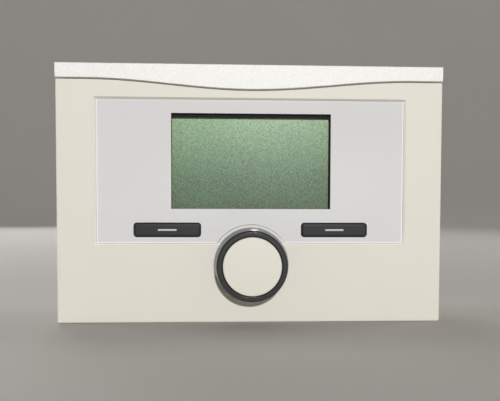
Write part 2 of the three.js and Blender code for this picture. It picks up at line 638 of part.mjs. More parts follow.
// ---- Rear housing ---------------------------------------------------------------------------------
function rearHousing() {
  const width = CAVITY_WIDTH - 2 * HOUSING_GAP;
  const height = CAVITY_TOP - CAVITY_BOTTOM - 2 * HOUSING_GAP;
  const z = (CAVITY_TOP + CAVITY_BOTTOM) / 2;
  const floorFront = HOUSING_BACK + HOUSING_FLOOR;
  const tray = carve(
    softSlab(rounded(width, height, HOUSING_CORNER, 0, z), HOUSING_BACK, UNDER_BOARD, HOUSING_EDGE),
    block(width - 2 * HOUSING_RIM, height - 2 * HOUSING_RIM, floorFront, FACE_DEPTH, 0, z),
  );
  const bosses = screwPlaces.map(([x, bossZ]) => disc(BOSS_RADIUS, HOUSING_BACK, UNDER_BOARD, x, bossZ));
  const wells = screwPlaces.map(([x, bossZ]) => (
    disc(BOSS_WELL_RADIUS, HOUSING_BACK - OVERSHOOT, SCREW_HEAD_SEAT + GAP, x, bossZ)
  ));
  const holes = screwPlaces.map(([x, bossZ]) => (
    disc(SCREW_SHANK_RADIUS + GAP, HOUSING_BACK, FACE_DEPTH, x, bossZ, THIN_SIDES)
  ));
  const airWindowWidth = AIR_SLOT_PITCH * AIR_SLOT_COUNT;
  const airWindows = [-AIR_SLOT_GROUP_X, AIR_SLOT_GROUP_X].map((x) => (
    block(airWindowWidth, 2 * height, floorFront + OVERSHOOT, FACE_DEPTH, x, z)
  ));
  const tongueSlotWidth = TONGUE.width + 2 * TONGUE_CLEARANCE;
  const tongueSlotHeight = TONGUE.height + 2 * TONGUE_CLEARANCE;
  const tongueSlots = [-TONGUE.x, TONGUE.x].map((x) => (
    block(tongueSlotWidth, tongueSlotHeight, 0, floorFront + OVERSHOOT, x, 0)
  ));
  const socketWidth = SOCKET.width + 2 * SOCKET_CLEARANCE.x;
  const socketHeight = SOCKET.height + 2 * SOCKET_CLEARANCE.z;
  const socketOpening = block(socketWidth, socketHeight, 0, floorFront + OVERSHOOT, 0, SOCKET.z);
  const ringed = carve(tray, ...airWindows);
  return carve(join(ringed, ...bosses), ...wells, ...holes, ...tongueSlots, socketOpening);
}

function housingScrew(x, z) {
  const headBack = SCREW_HEAD_SEAT - SCREW_HEAD_HEIGHT;
  const { length, width, depth } = SCREW_CROSS;
  const screw = join(
    disc(SCREW_HEAD_RADIUS, headBack, SCREW_HEAD_SEAT, x, z),
    disc(SCREW_SHANK_RADIUS, SCREW_HEAD_SEAT - OVERSHOOT, SCREW_TIP, x, z, THIN_SIDES),
  );
  return carve(
    screw,
    block(length, width, headBack - OVERSHOOT, headBack + depth, x, z),
    block(width, length, headBack - OVERSHOOT, headBack + depth, x, z),
  );
}

// ---- Wall base ------------------------------------------------------------------------------------
const wallSlots = [
  { x: -WALL_SCREW_SPACING / 2, z: 0, upright: true },
  { x: WALL_SCREW_SPACING / 2, z: 0, upright: true },
  { x: 0, z: SPARE_SLOT_Z, upright: false },
  { x: -WALL_SCREW_SPACING / 2, z: -SPARE_SLOT_Z, upright: false },
  { x: WALL_SCREW_SPACING / 2, z: -SPARE_SLOT_Z, upright: false },
];

// The outline of a screw slot, or of the pad round it.
function slotOutline({ x, z, upright }, border) {
  const across = WALL_SLOT_WIDTH + 2 * border;
  const along = WALL_SLOT_LENGTH + 2 * border;
  const radius = across / 2 - 0.01;
  return upright ? rounded(across, along, radius, x, z) : rounded(along, across, radius, x, z);
}

// The tool for the channel that brings a surface-run cable up from the lower edge.
function cableChannel() {
  const top = CABLE_ENTRY.z - CABLE_ENTRY.height / 2 + OVERSHOOT;
  const bottom = -BASE_HEIGHT / 2 - OVERSHOOT;
  return block(CABLE_CHANNEL.width, top - bottom, -OVERSHOOT, CABLE_CHANNEL.depth, 0, (top + bottom) / 2);
}

function wallBase() {
  const innerWidth = BASE_WIDTH - 2 * BASE_RIM;
  const innerHeight = BASE_HEIGHT - 2 * BASE_RIM;
  const padFront = BASE_FLOOR + WALL_PAD_HEIGHT;
  const toolFront = BASE_FRONT + OVERSHOOT;
  const tray = carve(
    softSlab(rounded(BASE_WIDTH, BASE_HEIGHT, BASE_CORNER), 0, BASE_FRONT, BASE_EDGE),
    slab(rounded(innerWidth, innerHeight, BASE_CORNER - BASE_RIM), BASE_FLOOR, toolFront),
  );
  const entry = CABLE_ENTRY;
  const collarWidth = entry.width + 2 * entry.collar;
  const collarHeight = entry.height + 2 * entry.collar;
  const tongues = [-TONGUE.x, TONGUE.x].flatMap((x) => [
    block(TONGUE.width, TONGUE.height, ROOT, TONGUE.front, x, 0),
    block(TONGUE.ribWidth, TONGUE.ribHeight, ROOT, TONGUE.ribFront, x, 0),
  ]);
  const body = join(
    tray,
    block(collarWidth, collarHeight, ROOT, padFront, 0, entry.z),
    ...wallSlots.map((slot) => slab(slotOutline(slot, WALL_PAD_BORDER), ROOT, padFront)),
    ...tongues,
  );
  const backFields = [-BACK_FIELD.x, BACK_FIELD.x].map((x) => (
    slab(rounded(BACK_FIELD.width, BACK_FIELD.height, BACK_FIELD.corner, x), -OVERSHOOT, BACK_FIELD.depth)
  ));
  return carve(
    body,
    block(entry.width, entry.height, -OVERSHOOT, BASE_FRONT, 0, entry.z),
    block(RELEASE_NOTCH.width, 2 * BASE_HEIGHT, BASE_FRONT - RELEASE_NOTCH.inBase, toolFront),
    ...wallSlots.map((slot) => slab(slotOutline(slot, 0), -OVERSHOOT, padFront + OVERSHOOT)),
    ...backFields,
    cableChannel(),
  );
}

// A terminal for two bus wires: screws reached from the front, wires pushed in from below.
function terminalBlock() {
  const body = block(TERMINAL.width, TERMINAL.height, ON_BASE, TERMINAL.front, 0, TERMINAL.z);
  const mouth = TERMINAL.z - TERMINAL.height / 2;
  const tools = [-TERMINAL.pitch / 2, TERMINAL.pitch / 2].flatMap((x) => [
    disc(TERMINAL_WELL.radius, TERMINAL_WELL.back, TERMINAL.front + OVERSHOOT, x, TERMINAL_WELL.z),
    block(WIRE_HOLE.width, WIRE_HOLE.length, WIRE_HOLE.back, WIRE_HOLE.front, x, mouth),
  ]);
  return carve(body, ...tools);
}

function terminalScrew(side) {
  const { radius, front, slotWidth, slotDepth } = TERMINAL_SCREW;
  const x = (side * TERMINAL.pitch) / 2;
  const { back, z } = TERMINAL_WELL;
  return carve(
    disc(radius, back + GAP, front, x, z),
    block(2 * radius + OVERSHOOT, slotWidth, front - slotDepth, front + OVERSHOOT, x, z),
  );
}

function contactSocket() {
  const body = block(SOCKET.width, SOCKET.height, ON_BASE, SOCKET.front, 0, SOCKET.z);
  const toolFront = SOCKET.front + OVERSHOOT;
  const wells = [-PIN_PITCH / 2, PIN_PITCH / 2].map((x) => (
    block(SOCKET.wellWidth, SOCKET.wellHeight, SOCKET.wellBack, toolFront, x, SOCKET.z)
  ));
  return carve(body, ...wells);
}

// A bowed leaf beside each pin, standing in its well.
function contactSpring(side) {
  const { width, thickness, bow, foot, front, steps } = SPRING;
  const back = SOCKET.wellBack + GAP;
  const leaf = (share) => SOCKET.z + foot + bow * Math.sin(Math.PI * share);
  const depthAt = (share) => back + (front - back) * share;
  const profile = new THREE.Shape();
  profile.moveTo(leaf(0), back);
  for (let step = 1; step <= steps; step += 1) {
    profile.lineTo(leaf(step / steps), depthAt(step / steps));
  }
  for (let step = steps; step >= 0; step -= 1) {
    profile.lineTo(leaf(step / steps) + thickness, depthAt(step / steps));
  }
  profile.closePath();
  const geometry = new THREE.ExtrudeGeometry(profile, { depth: width, bevelEnabled: false });
  // The profile is drawn as (z, depth) and carried along X.
  const axes = new THREE.Matrix4().makeBasis(
    new THREE.Vector3(0, 0, 1),
    new THREE.Vector3(0, -1, 0),
    new THREE.Vector3(1, 0, 0),
  );
  geometry.applyMatrix4(axes);
  geometry.translate((side * PIN_PITCH) / 2 - width / 2, 0, 0);
  return geometry;
}

// ---- Materials and assembly -------------------------------------------------------------------------
const finish = {
  cover: { color: 0xe6e4dc, roughness: 0.45, metalness: 0 },
  fascia: { color: 0xd9dade, roughness: 0.2, metalness: 0 },
  trim: { color: 0xe4e6ea, roughness: 0.35, metalness: 0.35 },
  darkPlastic: { color: 0x48484b, roughness: 0.4, metalness: 0 },
  blackFoam: { color: 0x0c0c0d, roughness: 0.9, metalness: 0 },
  displayGlass: { color: 0x7c9479, roughness: 0.15, metalness: 0 },
  whitePlastic: { color: 0xdedcd2, roughness: 0.5, metalness: 0 },
  diffuser: { color: 0xf2f4ee, roughness: 0.3, metalness: 0 },
  rubber: { color: 0xb9b4a8, roughness: 0.8, metalness: 0 },
  board: { color: 0x1f5a36, roughness: 0.5, metalness: 0 },
  blackPlastic: { color: 0x1b1b1d, roughness: 0.45, metalness: 0 },
  steel: { color: 0xb8bbbf, roughness: 0.3, metalness: 1 },
  brass: { color: 0xc9a349, roughness: 0.3, metalness: 1 },
  greyPlastic: { color: 0x8d9196, roughness: 0.5, metalness: 0 },
};

const timer = new THREE.Group();

function add(name, geometry, look) {
  const mesh = new THREE.Mesh(geometry, new THREE.MeshStandardMaterial(finish[look]));
  mesh.name = name;
  timer.add(mesh);
}

add('wall_base', wallBase(), 'whitePlastic');
add('terminal_block', terminalBlock(), 'greyPlastic');
add('contact_socket', contactSocket(), 'blackPlastic');
add('rear_housing', rearHousing(), 'whitePlastic');
add('front_cover', frontCover(), 'cover');
add('top_trim', topTrim(), 'trim');
add('display_fascia', displayFascia(), 'fascia');
add('display_gasket', displayGasket(), 'blackFoam');
add('display_glass', displayGlass(), 'displayGlass');
add('light_guide', lightGuide(), 'diffuser');
add('display_frame', displayFrame(), 'whitePlastic');
add('contact_strip_top', contactStrip(1), 'rubber');
add('contact_strip_bottom', contactStrip(-1), 'rubber');
add('main_board', mainBoard(), 'board');
add('microcontroller', microcontroller(), 'blackPlastic');
add('crystal', crystal(), 'steel');
add('electrolytic_capacitor', capacitorCan(SMOOTHING_CAN), 'steel');
add('backup_capacitor', capacitorCan(BACKUP_CAN), 'blackPlastic');
add('bus_rectifier', busRectifier(), 'blackPlastic');
add('room_sensor', roomSensor(), 'blackPlastic');
add('pin_header', pinHeader(), 'blackPlastic');
add('encoder_body', encoderBody(), 'steel');
add('encoder_bush', encoderBush(), 'brass');
add('encoder_shaft', encoderShaft(), 'greyPlastic');
add('knob_ring', knobRing(), 'darkPlastic');
add('knob_cap', knobCap(), 'cover');

for (const [side, label] of [[-1, 'left'], [1, 'right']]) {
  add(`key_${label}`, key(side * KEY_X), 'darkPlastic');
  add(`switch_body_${label}`, switchBody(side * KEY_X), 'blackPlastic');
  add(`switch_plunger_${label}`, switchPlunger(side * KEY_X), 'greyPlastic');
  add(`terminal_screw_${label}`, terminalScrew(side), 'steel');
  add(`contact_spring_${label}`, contactSpring(side), 'brass');
  add(`bus_pin_${label}`, busPin(side), 'brass');
}

const cornerLabels = ['top_left', 'top_right', 'bottom_left', 'bottom_right'];
screwPlaces.forEach(([x, z], index) => {
  add(`housing_screw_${cornerLabels[index]}`, housingScrew(x, z), 'steel');
});

export default timer;
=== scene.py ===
import math

import bmesh
import bpy
from mathutils import Matrix, Vector


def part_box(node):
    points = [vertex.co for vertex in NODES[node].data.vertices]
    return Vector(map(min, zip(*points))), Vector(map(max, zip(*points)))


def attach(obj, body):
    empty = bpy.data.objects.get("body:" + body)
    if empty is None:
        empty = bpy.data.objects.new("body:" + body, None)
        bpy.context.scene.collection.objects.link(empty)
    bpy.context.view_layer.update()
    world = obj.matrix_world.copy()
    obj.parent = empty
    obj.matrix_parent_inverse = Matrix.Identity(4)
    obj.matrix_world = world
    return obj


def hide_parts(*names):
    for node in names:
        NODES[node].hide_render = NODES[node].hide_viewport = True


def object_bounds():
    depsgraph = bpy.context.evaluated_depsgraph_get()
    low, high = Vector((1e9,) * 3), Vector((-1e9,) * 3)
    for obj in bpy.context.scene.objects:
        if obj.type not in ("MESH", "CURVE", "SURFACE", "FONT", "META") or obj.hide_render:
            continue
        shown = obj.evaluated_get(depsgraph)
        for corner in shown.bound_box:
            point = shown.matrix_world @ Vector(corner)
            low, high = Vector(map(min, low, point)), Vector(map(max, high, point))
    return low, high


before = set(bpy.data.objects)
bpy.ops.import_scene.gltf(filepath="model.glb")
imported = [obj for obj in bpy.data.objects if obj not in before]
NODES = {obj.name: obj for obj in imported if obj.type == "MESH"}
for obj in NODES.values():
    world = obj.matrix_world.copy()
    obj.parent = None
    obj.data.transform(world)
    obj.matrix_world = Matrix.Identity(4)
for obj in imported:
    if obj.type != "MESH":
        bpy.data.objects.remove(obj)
cad_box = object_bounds()

# A wall-mounted programmable timer, standing on its lower edge in front of a pale sweep.
# Metres, in the CAD's frame: +X right, +Z up, the face looks along -Y and the wall side is y = 0.
MM = 0.001


# ---- Places taken from the frame ---------------------------------------------------------------
def centre_of(node):
    low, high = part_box(node)
    return (low + high) / 2


ring_low, ring_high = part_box("knob_ring")
cap_low, cap_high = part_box("knob_cap")
glass_low, glass_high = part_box("display_glass")
fascia_low, fascia_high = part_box("display_fascia")
KNOB_X = centre_of("knob_ring").x
KNOB_Z = centre_of("knob_ring").z
FACE_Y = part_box("front_cover")[0].y
FLOOR_Z = cad_box[0].z
RECESS_SLOPE = 0.6 * MM     # width of the sloping edge of the cover's recess, which carries a painted highlight
PANEL_RIM_HIGHLIGHT = 0.5 * MM        # width of the panel's rim, which carries a painted highlight
LAND_RADIUS = 15.3 * MM     # raised land of the cover that the knob turns over, which carries a painted sheen

SHARP_ANGLE = 35            # degrees between two faces beyond which their edge shades crisp
KNOB_SHARP_ANGLE = 50
FILM_SHARP_ANGLE = 10
KNOB_SIDES = 160
SLIVER = 0.02 * MM          # gap that keeps two pieces of one part from touching


# ---- Material nodes ----------------------------------------------------------------------------
class Recipe:
    """One node material: a principled shader, and short calls for the nodes that feed it."""

    def __init__(self, name, color, roughness, **constants):
        self.material = bpy.data.materials.new(name)
        self.material.use_nodes = True
        self.nodes = self.material.node_tree.nodes
        self.links = self.material.node_tree.links
        self.shader = next(n for n in self.nodes if n.type == "BSDF_PRINCIPLED")
        self.shader.inputs["Base Color"].default_value = (*color, 1)
        self.shader.inputs["Roughness"].default_value = roughness
        for socket, value in constants.items():
            self.shader.inputs[socket.replace("_", " ")].default_value = value
        self.place = self.nodes.new("ShaderNodeTexCoord").outputs["Object"]

    def link(self, source, target):
        self.links.new(source, target)

    def axes(self):
        """The outputs X, Y and Z of the place on the object."""
        split = self.nodes.new("ShaderNodeSeparateXYZ")
        self.link(self.place, split.inputs[0])
        return split.outputs

    def math(self, operation, first, second=0.0, clamp=False):
        node = self.nodes.new("ShaderNodeMath")
        node.operation = operation
        node.use_clamp = clamp
        for socket, value in zip(node.inputs, (first, second)):
            if isinstance(value, (int, float)):
                socket.default_value = value
            else:
                self.link(value, socket)
        return node.outputs[0]

    def noise(self, size, detail=2.0, stretch=(1, 1, 1)):
        """Noise whose blotches are about size metres across."""
        mapping = self.nodes.new("ShaderNodeMapping")
        mapping.inputs["Scale"].default_value = [1 / (size * s) for s in stretch]
        self.link(self.place, mapping.inputs["Vector"])
        node = self.nodes.new("ShaderNodeTexNoise")
        node.inputs["Scale"].default_value = 1.0
        node.inputs["Detail"].default_value = detail
        self.link(mapping.outputs[0], node.inputs["Vector"])
        return node.outputs["Fac"]

    def cells(self, size):
        """A random value for each grain about size metres across."""
        node = self.nodes.new("ShaderNodeTexVoronoi")
        node.inputs["Scale"].default_value = 1 / size
        self.link(self.place, node.inputs["Vector"])
        split = self.nodes.new("ShaderNodeSeparateColor")
        self.link(node.outputs["Color"], split.inputs[0])
        return split.outputs[0]

    def spread(self, value, low, high):
        """Maps 0..1 onto low..high."""
        node = self.nodes.new("ShaderNodeMapRange")
        self.link(value, node.inputs["Value"])
        node.inputs["To Min"].default_value = low
        node.inputs["To Max"].default_value = high
        return node.outputs[0]

    def blend(self, share, first, second):
        """Mixes two colours, each a tuple or a socket."""
        node = self.nodes.new("ShaderNodeMix")
        node.data_type = "RGBA"
        self.link(share, node.inputs["Factor"])
        for socket, value in ((node.inputs[6], first), (node.inputs[7], second)):
            if isinstance(value, tuple):
                socket.default_value = (*value, 1)
            else:
                self.link(value, socket)
        return node.outputs[2]

    def ramp(self, share, stops):
        """Runs through the (share, colour) stops, which go from the lowest to the highest."""
        node = self.nodes.new("ShaderNodeValToRGB")
        self.link(share, node.inputs[0])
        elements = node.color_ramp.elements
        (first, first_color), *between, (last, last_color) = stops
        elements[0].position, elements[0].color = first, (*first_color, 1)
        elements[1].position, elements[1].color = last, (*last_color, 1)
        for position, color in between:
            elements.new(position).color = (*color, 1)
        return node.outputs[0]

    def scaled(self, color, factor):
        node = self.nodes.new("ShaderNodeVectorMath")
        node.operation = "SCALE"
        self.link(color, node.inputs[0])
        self.link(factor, node.inputs["Scale"])
        return node.outputs[0]

    def paint(self, color):
        self.link(color, self.shader.inputs["Base Color"])

    def gloss(self, value):
        self.link(value, self.shader.inputs["Roughness"])

    def bump(self, height, depth, strength=1.0):
        """Bumps of about depth metres."""
        node = self.nodes.new("ShaderNodeBump")
        node.inputs["Strength"].default_value = strength
        node.inputs["Distance"].default_value = depth
        self.link(height, node.inputs["Height"])
        previous = self.shader.inputs["Normal"]
        if previous.is_linked:
            self.link(previous.links[0].from_socket, node.inputs["Normal"])
        self.link(node.outputs[0], self.shader.inputs["Normal"])


def shade(color, factor):
    return tuple(channel * factor for channel in color)


def plastic(name, color, roughness, grain=0.25 * MM, grain_depth=0.004 * MM, tint=0.03, **constants):
    """Moulded plastic: a fine spark-eroded grain, slow drifts of tone, and patchy handling marks."""
    recipe = Recipe(name, color, roughness, **constants)
    drift = recipe.noise(28 * MM, detail=3)
    recipe.paint(recipe.blend(drift, shade(color, 1 - tint), shade(color, 1 + tint)))
    marks = recipe.noise(6 * MM, detail=5)
    recipe.gloss(recipe.spread(marks, roughness - 0.06, roughness + 0.08))
    recipe.bump(recipe.noise(grain, detail=1), grain_depth)
    return recipe.material


def metal(name, color, roughness, brushed=(1, 1, 1), **constants):
    """Plated or stamped metal: fine rolling marks and a slow stain."""
    recipe = Recipe(name, color, roughness, Metallic=1.0, **constants)
    stain = recipe.noise(3 * MM, detail=4)
    recipe.paint(recipe.blend(stain, shade(color, 0.82), shade(color, 1.08)))
    lines = recipe.noise(0.4 * MM, detail=3, stretch=brushed)
    recipe.gloss(recipe.spread(lines, roughness - 0.08, roughness + 0.12))
    recipe.bump(recipe.noise(0.15 * MM, detail=2, stretch=brushed), 0.003 * MM)
    return recipe.material


def within_panel(recipe, place, margin):
    """1 within the fascia's outline, grown by the margin at its sides and its foot, and 0 outside it."""
    middle = (fascia_low.x + fascia_high.x) / 2
    half_width = (fascia_high.x - fascia_low.x) / 2 + margin
    aside = recipe.math("ABSOLUTE", recipe.math("SUBTRACT", place["X"], middle))
    above_foot = recipe.math("GREATER_THAN", place["Z"], fascia_low.z - margin)
    return recipe.math("MULTIPLY", recipe.math("LESS_THAN", aside, half_width), above_foot)


def on_recess_slope(recipe, place):
    """1 on the slope at the sides and the foot of the recess that the fascia lies in, where a painted
    highlight goes.
    """
    below_head = recipe.math("LESS_THAN", place["Z"], fascia_high.z)
    return recipe.math("MULTIPLY", within_panel(recipe, place, RECESS_SLOPE), below_head)


def on_knob_land(recipe, place):
    """1 on the round land under the knob, as far as it stands within the fascia, where a painted sheen goes.
    """
    across = recipe.math("SUBTRACT", place["X"], KNOB_X)
    up = recipe.math("SUBTRACT", place["Z"], KNOB_Z)
    squares = recipe.math("ADD", recipe.math("POWER", across, 2.0), recipe.math("POWER", up, 2.0))
    inside = recipe.math("LESS_THAN", recipe.math("SQRT", squares), LAND_RADIUS)
    above = recipe.math("GREATER_THAN", place["Z"], fascia_low.z)
    return recipe.math("MULTIPLY", inside, above)


def cover_plastic(name, with_painted_highlights):
    """Warm white plastic; where it meets the panel, a painted highlight on the recess slope and a paler,
    cooler painted sheen on the land.
    """
    color, slope_painted_highlight, land_painted_sheen = (0.765, 0.745, 0.680), (0.93, 0.92, 0.88), (0.73, 0.735, 0.73)
    recipe = Recipe(name, color, 0.50, Specular_IOR_Level=0.2)
    drift = recipe.noise(30 * MM, detail=2)
    surface = recipe.blend(drift, shade(color, 0.988), shade(color, 1.012))
    if with_painted_highlights:
        place = recipe.axes()
        # painted highlight: the recess slope is painted paler than the plastic
        surface = recipe.blend(on_recess_slope(recipe, place), surface, slope_painted_highlight)
        # painted sheen: the land under the knob is painted paler and cooler than the plastic
        surface = recipe.blend(on_knob_land(recipe, place), surface, land_painted_sheen)
    recipe.paint(surface)
    grain = recipe.noise(0.22 * MM, detail=2)
    recipe.gloss(recipe.spread(grain, 0.44, 0.58))
    recipe.bump(grain, 0.0035 * MM, 0.5)
    return recipe.material


def trim_pearl():
    """Pearl silver paint: tiny bright flakes at many tilts."""
    color = (0.85, 0.85, 0.845)
    recipe = Recipe("trim pearl", color, 0.55, Metallic=0.05, Specular_IOR_Level=0.35)
    flakes = recipe.cells(0.20 * MM)
    recipe.paint(recipe.blend(flakes, shade(color, 0.90), shade(color, 1.10)))
    recipe.gloss(recipe.spread(recipe.noise(0.5 * MM), 0.50, 0.62))
    recipe.bump(flakes, 0.003 * MM, 0.5)
    return recipe.material


def fascia_gloss():
    """Cool light-grey lacquered panel: nearly mirror-smooth, with a painted highlight along its rim and
    hairline scratches.
    """
    color = (0.70, 0.705, 0.715)
    recipe = Recipe("fascia gloss", color, 0.08, Specular_IOR_Level=0.45)
    drift = recipe.noise(35 * MM, detail=2)
    plain = recipe.blend(drift, shade(color, 0.985), shade(color, 1.015))
    inner = within_panel(recipe, recipe.axes(), -PANEL_RIM_HIGHLIGHT)
    # painted highlight: the rim outside the inner outline is painted 1.22 times paler
    recipe.paint(recipe.blend(inner, shade(color, 1.22), plain))
    smears = recipe.noise(9 * MM, detail=6, stretch=(1, 1, 2.5))
    recipe.gloss(recipe.spread(smears, 0.06, 0.11))
    scratches = recipe.noise(0.5 * MM, detail=2, stretch=(0.35, 1, 16))
    fine = recipe.math("POWER", scratches, 6.0)
    recipe.bump(fine, 0.002 * MM, 0.35)
    return recipe.material


def display_film():
    """Unlit liquid crystal behind a polariser: brighter at the top from a painted reflection, olive at the
    edges, finely grained.
    """
    greens_with_painted_reflection = (                      # height on the film as a share, and its green there; the rise towards the top is a painted reflection
        (0.05, (0.086, 0.146, 0.088)),
        (0.35, (0.113, 0.193, 0.120)),
        (0.70, (0.179, 0.305, 0.177)),
        (0.95, (0.226, 0.378, 0.215)),
    )
    olive_foot, olive_head, olive_strength = (0.112, 0.140, 0.056), (0.240, 0.335, 0.140), 0.7
    side_start, foot_end, head_start = 0.37, 0.15, 0.84
    grain_contrast = 1.3

    recipe = Recipe("display film", (0.25, 0.35, 0.25), 0.32, Specular_IOR_Level=0.35)
    place = recipe.axes()
    low, high = glass_low, glass_high
    up = recipe.math("DIVIDE", recipe.math("SUBTRACT", place["Z"], low.z), high.z - low.z)
    across = recipe.math("DIVIDE", recipe.math("SUBTRACT", place["X"], low.x), high.x - low.x)
    clouded = recipe.math("ADD", up, recipe.spread(recipe.noise(16 * MM, detail=2), -0.10, 0.10))
    green = recipe.ramp(clouded, greens_with_painted_reflection)

    from_middle = recipe.math("ABSOLUTE", recipe.math("SUBTRACT", across, 0.5))
    side_tint = recipe.math("MULTIPLY", recipe.math("SUBTRACT", from_middle, side_start), 7.0, clamp=True)
    foot_tint = recipe.math("MULTIPLY", recipe.math("SUBTRACT", foot_end, up), 5.0, clamp=True)
    head_tint = recipe.math("MULTIPLY", recipe.math("SUBTRACT", up, head_start), 5.0, clamp=True)
    edge_tint = recipe.math("MAXIMUM", side_tint, recipe.math("MAXIMUM", foot_tint, head_tint))
    # the olive also runs paler towards the top, with the painted reflection
    olive = recipe.blend(clouded, olive_foot, olive_head)
    base = recipe.blend(recipe.math("MULTIPLY", edge_tint, olive_strength), green, olive)

    grains = recipe.noise(0.30 * MM, detail=2)
    lift = recipe.math("ADD", 1.0, recipe.spread(grains, -grain_contrast, grain_contrast))
    recipe.paint(recipe.scaled(base, lift))
    recipe.bump(grains, 0.006 * MM, 0.5)
    return recipe.material


def dark_plastic(name, roughness, specular):
    return plastic(name, (0.030, 0.030, 0.032), roughness, grain=0.18 * MM, grain_depth=0.003 * MM, tint=0.06,
                   Specular_IOR_Level=specular)


def floor_paint():
    darker, paler = (0.375, 0.360, 0.337), (0.395, 0.375, 0.350)
    recipe = Recipe("sweep paint", paler, 0.8)
    recipe.paint(recipe.blend(recipe.noise(0.25, detail=3), darker, paler))
    recipe.bump(recipe.noise(0.9 * MM, detail=3), 0.02 * MM)
    return recipe.material


def board_mask():
    """Green solder mask, with paler streaks where copper runs beneath it."""
    recipe = Recipe("solder mask", (0.02, 0.11, 0.045), 0.35, Coat_Weight=0.3)
    copper = recipe.noise(2.5 * MM, detail=0, stretch=(4, 1, 1))
    track_share = 0.56
    tracks = recipe.math("GREATER_THAN", copper, track_share)
    recipe.paint(recipe.blend(tracks, (0.012, 0.075, 0.030), (0.030, 0.150, 0.055)))
    recipe.bump(tracks, 0.03 * MM, 0.5)
    return recipe.material


def foam():
    recipe = Recipe("black foam", (0.008, 0.008, 0.009), 0.9)
    recipe.bump(recipe.noise(0.3 * MM, detail=4), 0.08 * MM)
    recipe.paint(recipe.blend(recipe.noise(1.2 * MM), (0.005, 0.005, 0.006), (0.013, 0.013, 0.014)))
    return recipe.material


# ---- Mesh helpers --------------------------------------------------------------------------------
def shade_faces_flat(piece, keep_sharp):
    """Turns the shading of each corner towards the largest face at it, so that big faces look flat."""
    level = piece.modifiers.new("flat faces shade flat", "WEIGHTED_NORMAL")
    level.mode = "FACE_AREA"
    level.weight = 100
    level.keep_sharp = keep_sharp


def finish_mesh(name, verts, faces, body, slot, material, replaced=(), sharp_angle=SHARP_ANGLE):
    """Makes an object from points and faces, with faces turned outwards and shading split at sharp edges."""
    mesh = bpy.data.meshes.new(name)
    mesh.from_pydata([tuple(v) for v in verts], [], faces)
    shape = bmesh.new()
    shape.from_mesh(mesh)
    bmesh.ops.remove_doubles(shape, verts=shape.verts, dist=1e-7)
    bmesh.ops.recalc_face_normals(shape, faces=shape.faces)
    shape.to_mesh(mesh)
    shape.free()
    mesh.polygons.foreach_set("use_smooth", [True] * len(mesh.polygons))
    mesh.set_sharp_from_angle(angle=math.radians(sharp_angle))
    piece = bpy.data.objects.new(name, mesh)
    bpy.context.scene.collection.objects.link(piece)
    mesh.materials.append(material)
    shade_faces_flat(piece, keep_sharp=True)
    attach(piece, body)
    if replaced:
        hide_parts(*replaced)
    return piece


def lathe(profile, x, z, sides):
    """Points and faces for a profile of (radius, y), which starts and ends on the axis along Y."""
    verts = []
    rings = []
    for radius, y in profile:
        if radius < 1e-9:
            rings.append([len(verts)])
            verts.append((x, y, z))
            continue
        rings.append(list(range(len(verts), len(verts) + sides)))
        for step in range(sides):
            turn = 2 * math.pi * step / sides
            verts.append((x + radius * math.cos(turn), y, z + radius * math.sin(turn)))
    faces = []
    for first, second in zip(rings, rings[1:]):
        for step in range(sides):
            following = (step + 1) % sides
            if len(first) == 1:
                faces.append((first[0], second[step], second[following]))
            elif len(second) == 1:
                faces.append((first[step], second[0], first[following]))
            else:
                faces.append((first[step], second[step], second[following], first[following]))
    return verts, faces


def filleted(points, steps=5):
    """A profile of (radius, y, fillet) corners, with an arc of that fillet radius at each corner."""
    result = []
    for index, (radius, y, fillet) in enumerate(points):
        corner = Vector((radius, y))
        if fillet == 0 or index in (0, len(points) - 1):
            result.append(tuple(corner))
            continue
        before = (Vector(points[index - 1][:2]) - corner).normalized()
        after = (Vector(points[index + 1][:2]) - corner).normalized()
        half = before.angle(after) / 2
        reach = fillet / math.tan(half)
        middle = corner + (before + after).normalized() * (fillet / math.sin(half))
        start = corner + before * reach - middle
        end = corner + after * reach - middle
        sweep = start.angle_signed(end)
        for step in range(steps + 1):
            turned = Matrix.Rotation(-sweep * step / steps, 2) @ start
            result.append(tuple(middle + turned))
    return result


def rounded_outline(width, height, corner, x, z, arc_steps=6):
    outline = []
    for quarter, (side_x, side_z) in enumerate([(1, 1), (-1, 1), (-1, -1), (1, -1)]):
        middle_x = x + side_x * (width / 2 - corner)
        middle_z = z + side_z * (height / 2 - corner)
        for step in range(arc_steps + 1):
            turn = math.pi / 2 * (quarter + step / arc_steps)
            outline.append((middle_x + corner * math.cos(turn), middle_z + corner * math.sin(turn)))
    return outline


def lofted_plate(width, height, corner, x, z, levels):
    """A closed plate whose outline shrinks by inset at each (inset, y) level, back to front."""
    smallest_corner = 0.05 * MM
    verts = []
    faces = []
    for inset, y in levels:
        inner_corner = max(corner - inset, smallest_corner)
        outline = rounded_outline(width - 2 * inset, height - 2 * inset, inner_corner, x, z)
        count = len(outline)
        verts.extend((px, y, pz) for px, pz in outline)
    for level in range(len(levels) - 1):
        low, high = level * count, (level + 1) * count
        for step in range(count):
            following = (step + 1) % count
            faces.append((low + step, low + following, high + following, high + step))
    faces.append(tuple(range(count)))
    faces.append(tuple(reversed(range(len(verts) - count, len(verts)))))
    return verts, faces


def rounded_edge(y_edge, y_face, radius, steps=4):
    """Levels that turn from a side wall at y_edge into a face at y_face, over an arc of that radius."""
    direction = 1 if y_face > y_edge else -1
    levels = []
    for step in range(steps + 1):
        turn = math.pi / 2 * step / steps
        inset = radius * (1 - math.cos(turn))
        levels.append((inset, y_face - direction * radius * (1 - math.sin(turn))))
    return levels


def wear(node, material):
    """Gives a CAD node its material, and smooth shading that stays crisp at its sharp edges."""
    piece = NODES[node]
    piece.data.materials.clear()
    piece.data.materials.append(material)
    piece.data.polygons.foreach_set("use_smooth", [True] * len(piece.data.polygons))
    weld = piece.modifiers.new("join corners", "WELD")
    weld.merge_threshold = 0.002 * MM
    split = piece.modifiers.new("sharp edges", "EDGE_SPLIT")
    split.split_angle = math.radians(SHARP_ANGLE)
    split.use_edge_sharp = False
    shade_faces_flat(piece, keep_sharp=False)


